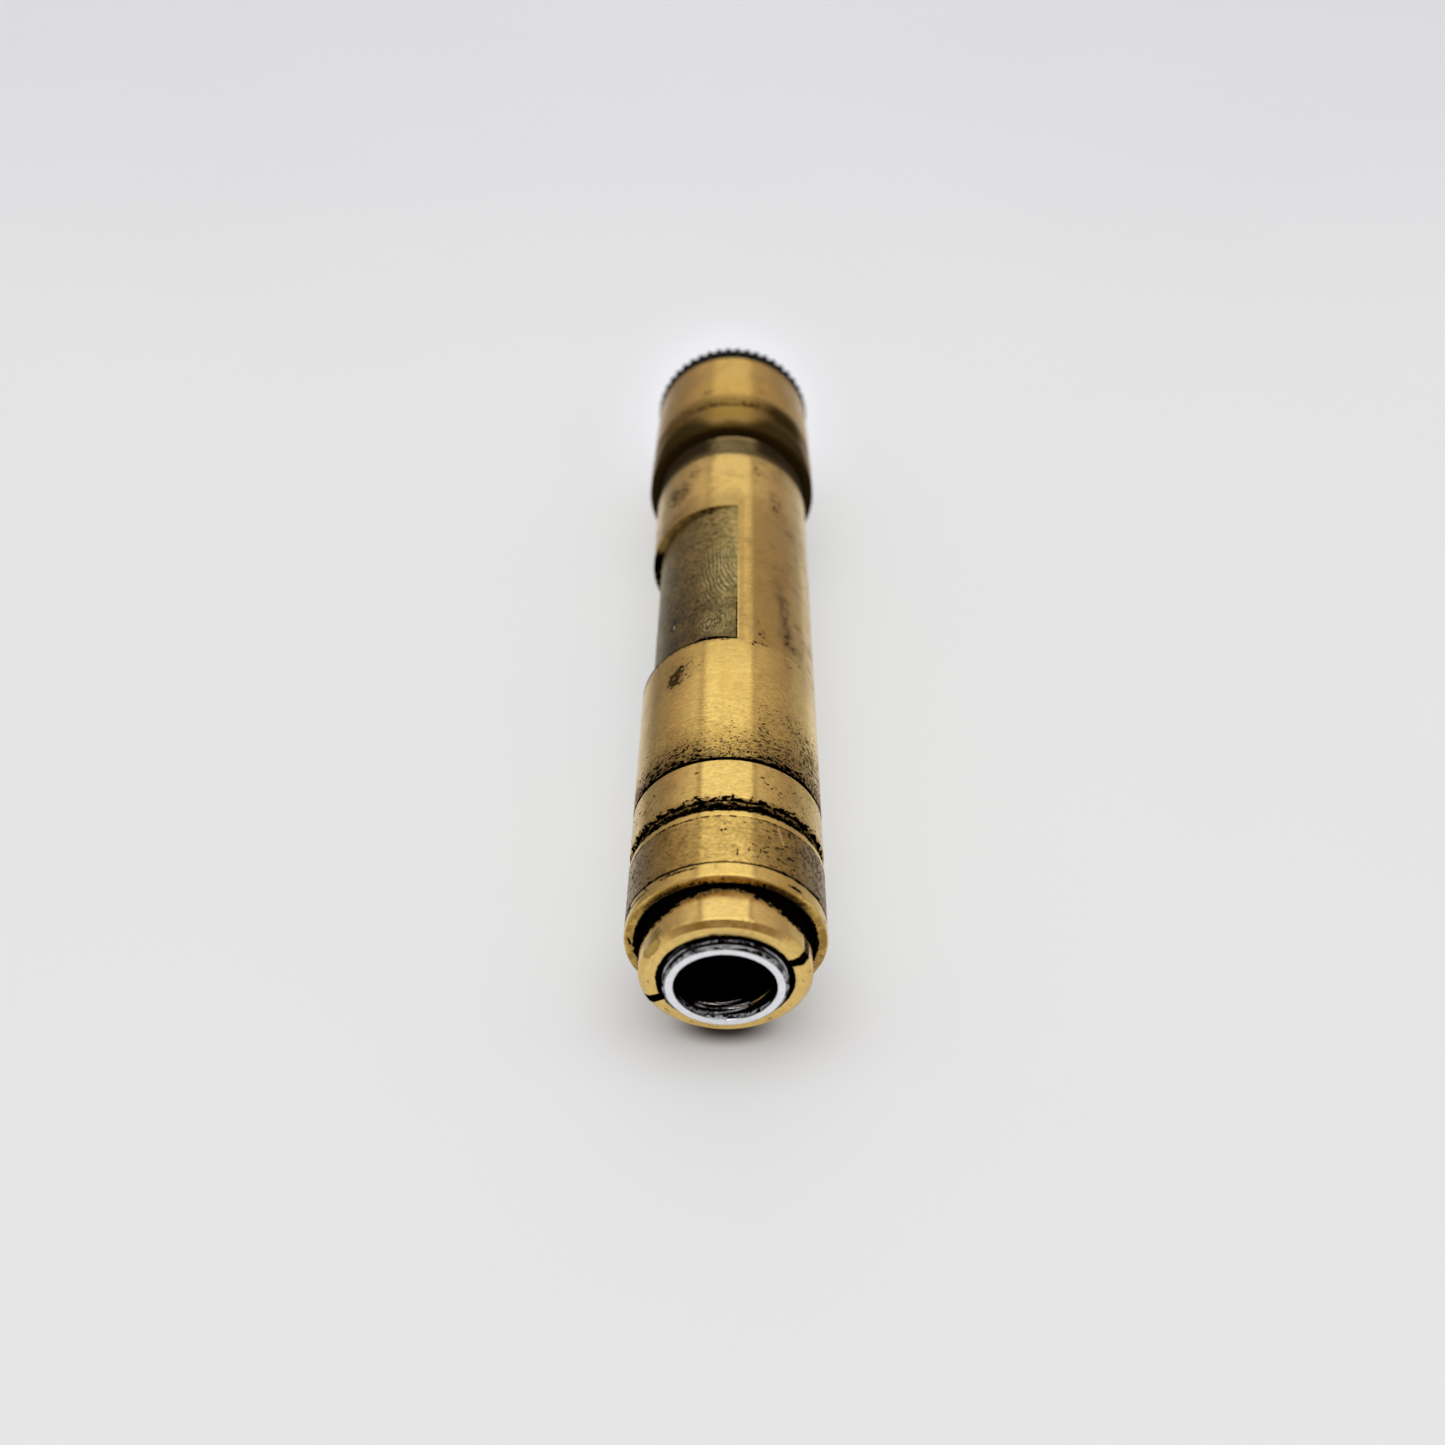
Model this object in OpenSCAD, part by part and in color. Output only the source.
// Pocket kaleidoscope in turned brass.
// The optical axis lies along Y. Y = 0 is the front face of the front sleeve,
// the eyepiece is on the -Y side and the object cell on the +Y side.
// +Z is up when the instrument lies on its side. Millimetres.

/* [Barrel] */
// Outside diameter of the barrel, front sleeve and lock ring
barrel_d = 16; // [15.5:0.1:18]
// Wall thickness of the barrel tube
barrel_wall = 1.4; // [1.3:0.05:1.6]
// Y where the full-size barrel starts, behind the lock ring
barrel_y0 = 12.8; // [12.6:0.1:14]
// Y where the full-size barrel ends and the grooved neck starts
barrel_y1 = 59.8; // [58:0.1:61]
// Y of the shoulder that the end cap turns against
neck_y1 = 63.1; // [62.6:0.1:63.1]
// Pitch of the fine rings turned on the neck
neck_pitch = 0.55; // [0.4:0.05:0.8]

/* [Side recess] */
// Y of the recess wall nearest the eyepiece
recess_y0 = 28.4; // [28.4:0.1:34]
// Y of the recess wall nearest the object cell
recess_y1 = 49.6; // [44:0.1:54]
// Deepest cut of the eccentric recess, on the -X side
recess_depth = 0.88; // [0.3:0.02:0.95]
// Y of the fine turned line round the barrel, just in front of the recess
witness_y = 28.1; // [23:0.05:28.1]
// Depth of the small step along its straight edge
recess_step = 0.06; // [0.03:0.01:0.15]
// Angle of the straight edge from the top of the barrel, in degrees
recess_edge = 5; // [0:1:20]

/* [Front sleeve and lock ring] */
// Length of the front sleeve
sleeve_len = 6.95; // [6.4:0.05:7.2]
// Radial thickness of the sleeve's front lip
sleeve_lip = 0.86; // [0.7:0.02:0.95]
// Y of the front of the lock ring
lock_y0 = 8.15; // [7.8:0.05:9]
// Y of the back of the lock ring
lock_y1 = 12.62; // [11.6:0.02:12.62]

/* [Eyepiece] */
// Y of the nose collar's front face
collar_front = -3.5; // [-5:0.1:-2.5]
// Outside diameter of the nose collar
collar_d = 13.44; // [13:0.02:13.6]
// Bore of the nose collar's mouth
collar_mouth_d = 10.56; // [10.3:0.02:11]
// Width of the two spanner slots
slot_w = 0.62; // [0.4:0.02:1]
// Depth of the two spanner slots
slot_depth = 0.9; // [0.5:0.05:1.5]
// Angle of the first spanner slot from the top, in degrees
slot_angle = 68; // [0:1:180]
// Y of the steel eyepiece tube's front face
eyepiece_front = -4.27; // [-5:0.01:-3.6]
// Outside diameter over the thread crests of the eyepiece tube
eyepiece_d = 9.7; // [9.5:0.02:9.7]
// Bore of the eyepiece tube's mouth
eyepiece_bore_d = 7.96; // [7.6:0.02:8.1]
// Pitch of the eyepiece thread
eyepiece_pitch = 0.5; // [0.4:0.05:1]
// Depth of the eyepiece thread
eyepiece_thread = 0.3; // [0.2:0.02:0.36]

/* [Object cell] */
// Outside diameter of the end cap at its near band
cap_d = 17.96; // [17.7:0.02:18.6]
// Outside diameter of the end cap where it meets the bezel
cap_far_d = 17.3; // [17.2:0.02:17.6]
// Y of the end cap's near face
cap_y0 = 63.2; // [63.2:0.05:63.4]
// Y of the end cap's far face
cap_y1 = 79.44; // [79:0.02:80]
// Length of the knurled bezel's grip
bezel_len = 2.16; // [1.6:0.02:3]
// Diameter over the knurl's tips
bezel_d = 17.28; // [17:0.02:17.6]
// Number of knurl teeth
bezel_teeth = 48; // [36:1:60]
// Depth of the knurl
bezel_depth = 0.45; // [0.25:0.01:0.5]
// Number of loose glass pieces in one layer of the cell
chips_per_layer = 12; // [5:1:12]

/* [Mirrors] */
// Width of each mirror strip
mirror_w = 9.4; // [8:0.1:9.6]
// Thickness of each mirror strip
mirror_t = 1.0; // [0.7:0.05:1]
// Y of the eyepiece end of the mirrors
mirror_y0 = 14.6; // [14.6:0.1:18]
// Y of the object end of the mirrors
mirror_y1 = 66.0; // [60:0.1:66]

/* [Hidden] */
$fn = 96;
// How far a cutter runs past what it cuts
over = 1;

barrel_r = barrel_d / 2;
bore_r = barrel_r - barrel_wall;
// Reduced front end of the barrel, under the sleeve and lock ring
spigot_r = barrel_r - 0.55;
spigot_y0 = 4.6;
neck_r = barrel_r - 0.15;
// Reduced far end of the barrel, inside the end cap
tail_r = barrel_r - 0.7;
tail_y1 = 67.6;
collar_r = collar_d / 2;
eyepiece_r = eyepiece_d / 2;
guide_r = eyepiece_r + 0.05;
cavity_r = barrel_r - 0.05;
window_r = cavity_r - 0.1;
// Distance from the axis to each mirror's inner face
mirror_gap = mirror_w / (2 * sqrt(3)) + 0.08;

brass = [0.80, 0.62, 0.30];
dark_brass = [0.55, 0.42, 0.20];
steel = [0.78, 0.79, 0.81];
black = [0.06, 0.06, 0.065];
silvered = [0.85, 0.88, 0.9];

// ---- Helpers ----

// Stands children's Z axis along +Y, starting at y.
module along_y(y = 0) {
    translate([0, y, 0]) rotate([-90, 0, 0]) children();
}

// A closed profile of [radius, y] points, turned about the Y axis.
module turned(points) {
    along_y() rotate_extrude() polygon(points);
}

module tube(y0, y1, outer, inner) {
    along_y(y0) difference() {
        cylinder(r = outer, h = y1 - y0);
        translate([0, 0, -over]) cylinder(r = inner, h = y1 - y0 + 2 * over);
    }
}

module disc(y0, y1, r) {
    along_y(y0) cylinder(r = r, h = y1 - y0);
}

// Turns children about the Y axis, from the top (+Z) towards +X.
module at_angle(angle) {
    rotate([0, angle, 0]) children();
}

// Two opposite slot cutters, from z outwards.
module slot_pair(angle, width, y, length, z, height) {
    for (a = [angle, angle + 180]) at_angle(a)
        translate([-width / 2, y, z]) cube([width, length, height]);
}

// [radius, y] points of ring grooves between two Y values.
function rings(y0, y1, pitch, crest, root) =
    let (n = floor((y1 - y0) / pitch), start = y0 + (y1 - y0 - n * pitch) / 2)
    [for (i = [0 : n - 1], k = [0 : 3])
        [k == 1 || k == 2 ? root : crest,
         start + pitch * (i + [0.06, 0.44, 0.56, 0.94][k])]];

// [radius, y] points of one fine V-shaped line.
function fine_line(r, y, half_width, depth) =
    [[r, y - half_width], [r - depth, y], [r, y + half_width]];

// ---- Barrel group ----

screw_y = 10.4;
screw_r = 0.6;
screw_hole_r = 0.62;
screw_z = bore_r - 0.5;
key_y = 7;
key_r = 0.5;
key_z = 4.25;
plate_gap = 0.05;
washer_y0 = 64.82;
washer_y1 = 65.1;
nut_y0 = 65.15;
nut_y1 = 67.1;

// Puts children at the three radial grub screws, z from the axis.
module at_screws(z) {
    for (a = [60, 180, 300]) at_angle(a) translate([0, screw_y, z]) children();
}

// Puts children at the key pin underneath, z from the axis.
module at_key(z) {
    at_angle(180) translate([0, key_y, z]) children();
}

module barrel_blank() {
    turned(concat(
        [[bore_r, spigot_y0], [spigot_r - 0.2, spigot_y0], [spigot_r, spigot_y0 + 0.2],
         [spigot_r, barrel_y0], [barrel_r - 0.12, barrel_y0], [barrel_r, barrel_y0 + 0.12]],
        fine_line(barrel_r, witness_y, half_width = 0.26, depth = 0.03),
        [[barrel_r, barrel_y1 - 0.2], [neck_r, barrel_y1], [neck_r, barrel_y1 + 0.05]],
        rings(barrel_y1 + 0.1, neck_y1 - 0.1, neck_pitch, crest = neck_r, root = neck_r - 0.2),
        [[neck_r, neck_y1], [tail_r, neck_y1], [tail_r, tail_y1 - 0.2],
         [tail_r - 0.2, tail_y1], [bore_r, tail_y1]]));
}

// The recess floor is a circle set off centre, so the cut runs from a small step near the top
// down to its full depth at the side and back to a small step underneath.
module recess_cut() {
    length = recess_y1 - recess_y0;
    edge_sin = sin(recess_edge);
    floor_min = barrel_r - recess_depth;
    edge_r = barrel_r - recess_step;
    offset_x = (edge_r * edge_r - floor_min * floor_min)
        / (2 * (floor_min + edge_r * edge_sin));
    reach = barrel_r + 2;
    difference() {
        translate([-reach, recess_y0, -reach])
            cube([reach + barrel_r * edge_sin, length, 2 * reach]);
        translate([offset_x, 0, 0]) along_y(recess_y0 - over)
            cylinder(r = floor_min + offset_x, h = length + 2 * over);
    }
}

module barrel() {
    color(brass) difference() {
        barrel_blank();
        recess_cut();
        at_screws(0) cylinder(r = screw_hole_r, h = barrel_r + over, $fn = 48);
    }
}

module front_sleeve() {
    lip_r = barrel_r - sleeve_lip;
    lip_y1 = 3.4;
    color(brass) turned(concat(
        [[lip_r, 0.08], [lip_r + 0.08, 0], [barrel_r - 0.12, 0], [barrel_r, 0.12]],
        fine_line(barrel_r, 1.39, half_width = 0.05, depth = 0.06),
        fine_line(barrel_r, 6.24, half_width = 0.05, depth = 0.05),
        [[barrel_r, sleeve_len - 0.15], [barrel_r - 0.15, sleeve_len],
         [spigot_r, sleeve_len], [spigot_r, lip_y1], [lip_r, lip_y1]]));
}

module lock_ring() {
    color(brass) turned([
        [spigot_r, lock_y0], [barrel_r - 0.2, lock_y0], [barrel_r, lock_y0 + 0.2],
        [barrel_r, lock_y1 - 0.08], [barrel_r - 0.08, lock_y1], [spigot_r, lock_y1]]);
}

module guide_bush() {
    color(dark_brass) difference() {
        tube(4.7, 11.7, bore_r, guide_r);
        at_key(0) cylinder(r = key_r, h = barrel_r, $fn = 48);
        at_screws(screw_z) cylinder(r = screw_hole_r, h = 2, $fn = 48);
    }
}

// Keys the eyepiece tube so that it slides without turning.
module key_pin() {
    color(steel) at_key(key_z) cylinder(r = key_r, h = bore_r - 0.05 - key_z, $fn = 48);
}

module grub_screws() {
    wall = spigot_r - bore_r;
    color(steel) at_screws(screw_z) difference() {
        cylinder(r = screw_r, h = wall + 0.4, $fn = 48);
        translate([-0.1, -1, wall + 0.05]) cube([0.2, 2, 1]);
    }
}

// Round plate with a triangular hole, one corner down.
module mirror_plate(y0, y1) {
    hole_inradius = mirror_gap - 0.35;
    difference() {
        disc(y0, y1, bore_r - 0.03);
        along_y(y0 - over) rotate([0, 0, 90])
            linear_extrude(y1 - y0 + 2 * over) circle(r = hole_inradius * 2, $fn = 3);
    }
}

module front_mirror_plate() {
    color(black) mirror_plate(mirror_y0 - 1.4, mirror_y0 - plate_gap);
}

module rear_mirror_plate() {
    color(black) mirror_plate(mirror_y1 + plate_gap, mirror_y1 + 1.3);
}

module mirror_strip(angle) {
    at_angle(angle) translate([-mirror_w / 2, mirror_y0, mirror_gap])
        cube([mirror_w, mirror_y1 - mirror_y0, mirror_t]);
}

module mirror_left() {
    color(silvered) mirror_strip(-60);
}

module mirror_right() {
    color(silvered) mirror_strip(60);
}

module mirror_base() {
    color(silvered) mirror_strip(180);
}

// Foam between each mirror's back and the barrel's bore.
module mirror_padding() {
    color([0.12, 0.12, 0.13]) for (a = [-60, 60, 180]) at_angle(a) intersection() {
        disc(mirror_y0 + 0.5, mirror_y1 - 0.5, bore_r - 0.05);
        translate([-barrel_r, 0, mirror_gap + mirror_t + 0.03]) cube([barrel_d, 100, barrel_r]);
    }
}

module retaining_nut() {
    nut_r = cavity_r - 0.1;
    color(dark_brass) difference() {
        turned([[tail_r, nut_y0], [nut_r, nut_y0], [nut_r, nut_y1 - 0.1],
                [nut_r - 0.1, nut_y1], [tail_r, nut_y1]]);
        slot_pair(angle = 0, width = 0.8, y = nut_y1 - 0.6, length = 2,
                  z = 0, height = barrel_r + over);
    }
}

module friction_washer() {
    color(steel) tube(washer_y0, washer_y1, cavity_r - 0.15, tail_r + 0.05);
}

// ---- Nose collar ----

module nose_collar() {
    mouth_r = collar_mouth_d / 2;
    mouth_y1 = 0.6;
    flange_r = spigot_r - 0.1;
    flange_y0 = 3.45;
    flange_y1 = 4.5;
    slot_z = 4;
    color(brass) difference() {
        turned([
            [mouth_r, collar_front + 0.05], [mouth_r + 0.05, collar_front],
            [collar_r - 0.5, collar_front], [collar_r, collar_front + 0.42],
            [collar_r, flange_y0], [flange_r, flange_y0], [flange_r, flange_y1],
            [guide_r, flange_y1], [guide_r, mouth_y1], [mouth_r, mouth_y1]]);
        slot_pair(slot_angle, slot_w, y = collar_front - over, length = over + slot_depth,
                  z = slot_z, height = collar_r - 0.18 - slot_z);
    }
}

// ---- Eyepiece ----

lens_bore_r = 4.1;
insert_r = lens_bore_r - 0.03;

module eyepiece_tube() {
    front = eyepiece_front;
    mouth_r = eyepiece_bore_d / 2;
    back = 11.5;
    // Inner shoulder that the lens sits behind
    seat_r = 3.3;
    seat_y0 = 1.8;
    seat_y1 = 2.5;
    keyway = [2 * (key_r + 0.06), 3.3, 3];
    color(steel) difference() {
        turned(concat(
            [[mouth_r, front + 0.06], [mouth_r + 0.06, front],
             [eyepiece_r - 0.08, front], [eyepiece_r, front + 0.08]],
            rings(front + 0.2, 3.6, eyepiece_pitch,
                  crest = eyepiece_r, root = eyepiece_r - eyepiece_thread),
            [[eyepiece_r, 3.8], [eyepiece_r, back], [lens_bore_r, back], [lens_bore_r, seat_y1],
             [seat_r, seat_y1], [seat_r, seat_y0], [mouth_r, seat_y0]]));
        at_key(3) translate([-keyway.x / 2, -keyway.y / 2, 0]) cube(keyway);
    }
}

// Plano-convex lens, flat side towards the eye.
module eye_lens() {
    flat_y = 2.55;
    apex_y = 4.15;
    curve_r = 9;
    color([0.75, 0.85, 0.9, 0.4]) along_y() intersection() {
        translate([0, 0, flat_y]) cylinder(r = lens_bore_r - 0.05, h = 2);
        translate([0, 0, apex_y - curve_r]) sphere(r = curve_r);
    }
}

module lens_retainer() {
    back = 4.5;
    color(black) difference() {
        tube(3.6, back, insert_r, 3.2);
        slot_pair(angle = 0, width = 0.6, y = back - 0.4, length = 1, z = 2, height = 3);
    }
}

// Thin stop behind the lens retainer.
module field_stop() {
    color(black) tube(5.0, 5.4, insert_r, 2.6);
}

// ---- Object cell ----

// Y of the faces of the stack, from the snap ring's groove to the bezel's inner end
groove_y0 = 68.1;
groove_y1 = 68.66;
inner_window_y0 = 68.7;
inner_window_y1 = 69.6;
outer_window_y0 = 75.4;
outer_window_y1 = 76.6;
bezel_y0 = 76.95;

module end_cap() {
    near_r = cap_d / 2;
    far_r = cap_far_d / 2;
    lip_r = tail_r + 0.06;
    lip_y1 = 64.75;
    groove_r = cavity_r + 0.2;
    color(brass) turned([
        // Near band
        [lip_r, cap_y0], [near_r - 0.12, cap_y0], [near_r, cap_y0 + 0.12], [near_r, 67.75],
        // Outer groove
        [near_r - 0.1, 67.95], [near_r - 0.3, 68.05], [near_r - 0.3, 68.35],
        // Second band, then the taper to the bezel
        [near_r - 0.1, 68.5], [near_r - 0.1, 70.05], [near_r - 0.13, 70.25],
        [far_r, cap_y1 - 0.1], [far_r - 0.1, cap_y1],
        // Cavity with the snap ring's groove, back to the near lip
        [cavity_r, cap_y1], [cavity_r, groove_y1], [groove_r, groove_y1],
        [groove_r, groove_y0], [cavity_r, groove_y0],
        [cavity_r, lip_y1], [lip_r, lip_y1]]);
}

module knurled_bezel() {
    tip_r = bezel_d / 2;
    blank_r = tip_r + 0.05;
    chamfer = 0.3;
    view_r = barrel_r - 1.4;
    flare = 0.35;
    y0 = cap_y1 + 0.01;
    y1 = y0 + bezel_len;
    color(black) difference() {
        union() {
            intersection() {
                along_y(y0) linear_extrude(bezel_len)
                    polygon([for (i = [0 : bezel_teeth - 1], k = [0 : 3])
                        let (a = 360 / bezel_teeth * (i + [0.0, 0.36, 0.5, 0.86][k]),
                             r = k == 1 || k == 2 ? tip_r - bezel_depth : tip_r)
                        [r * cos(a), r * sin(a)]]);
                turned([[0, y0], [blank_r - chamfer, y0], [blank_r, y0 + chamfer],
                        [blank_r, y1 - chamfer], [blank_r - chamfer, y1], [0, y1]]);
            }
            disc(bezel_y0, y0 + 0.5, cavity_r - 0.02);
        }
        disc(76, y1 + over, view_r);
        translate([0, y1, 0])
            turned([[0, -flare], [view_r, -flare], [view_r + flare, 0.01], [0, 0.01]]);
    }
}

module inner_window() {
    color([0.85, 0.93, 0.95, 0.3]) disc(inner_window_y0, inner_window_y1, window_r);
}

module outer_window() {
    color([0.95, 0.96, 0.97, 0.7]) disc(outer_window_y0, outer_window_y1, window_r);
}

module cell_spacer() {
    color(steel)
        tube(inner_window_y1 + 0.02, outer_window_y0 - 0.02, window_r, window_r - 0.5);
}

// Split ring, open at the bottom.
module snap_ring() {
    gap = 1.8;
    color(steel) difference() {
        tube(groove_y0 + 0.04, groove_y1 - 0.06, cavity_r + 0.15, cavity_r - 0.65);
        at_angle(180) translate([-gap / 2, 67, 0]) cube([gap, 3, barrel_r + 2]);
    }
}

module bezel_gasket() {
    color([0.1, 0.1, 0.1])
        tube(outer_window_y1 + 0.03, bezel_y0 - 0.03, window_r, window_r - 0.8);
}

// ---- Loose glass pieces, lying in the lower part of the cell ----

layer_y0 = 69.81;
layer_pitch = 1.87;

// [x, z] of place i in a layer: seven on an outer arc along the cell's wall, then an inner arc.
function place(i) =
    let (outer = i < 7,
         radius = outer ? 5.75 : 3.1,
         angle = 180 + (outer ? (i - 3) * 24 : (i - 9) * 41))
    [radius * sin(angle), radius * cos(angle)];

// A repeatable number from 0 to 1 for a piece and a channel.
function vary(piece, channel) =
    let (v = sin(piece * 77.7 + channel * 131.3) * 43.7) v - floor(v);

// Puts children at every place whose piece has the given kind, 0 to 4, in each of three layers.
module scatter(kind) {
    for (layer = [0 : 2], i = [0 : chips_per_layer - 1])
        if ((i * 3 + layer * 2) % 5 == kind) {
            spot = place(i);
            $piece = layer * 20 + i;
            translate([spot[0], layer_y0 + layer * layer_pitch, spot[1]])
                rotate([0, 360 * vary($piece, 1), 0]) children();
        }
}

// Flat piece with uneven corners.
module chip(sides, r, thickness) {
    along_y() linear_extrude(thickness)
        polygon([for (j = [0 : sides - 1])
            let (angle = 360 / sides * (j + 0.5 * vary($piece, 3 + j)),
                 corner_r = r * (0.72 + 0.28 * vary($piece, 9 + j)))
            [corner_r * cos(angle), corner_r * sin(angle)]]);
}

module red_glass() {
    color([0.75, 0.05, 0.08]) scatter(0) chip(sides = 5, r = 1.12, thickness = 1.5);
}

module blue_glass() {
    color([0.05, 0.15, 0.75]) scatter(1) chip(sides = 4, r = 1.15, thickness = 1.3);
}

module green_glass() {
    color([0.05, 0.55, 0.2]) scatter(2) chip(sides = 3, r = 1.15, thickness = 1.6);
}

module amber_beads() {
    color([0.95, 0.6, 0.1]) scatter(3) along_y() rotate_extrude($fn = 48)
        translate([0.62, 0.5]) circle(r = 0.42, $fn = 24);
}

module violet_rods() {
    length = 1.9;
    color([0.45, 0.1, 0.6]) scatter(4) translate([-length / 2, 0.75, 0])
        rotate([0, 90, 0]) cylinder(r = 0.45, h = length, $fn = 32);
}

barrel();
front_sleeve();
lock_ring();
guide_bush();
key_pin();
grub_screws();
front_mirror_plate();
rear_mirror_plate();
mirror_left();
mirror_right();
mirror_base();
mirror_padding();
retaining_nut();
friction_washer();
nose_collar();
eyepiece_tube();
eye_lens();
lens_retainer();
field_stop();
end_cap();
knurled_bezel();
inner_window();
outer_window();
cell_spacer();
snap_ring();
bezel_gasket();
red_glass();
blue_glass();
green_glass();
amber_beads();
violet_rods();
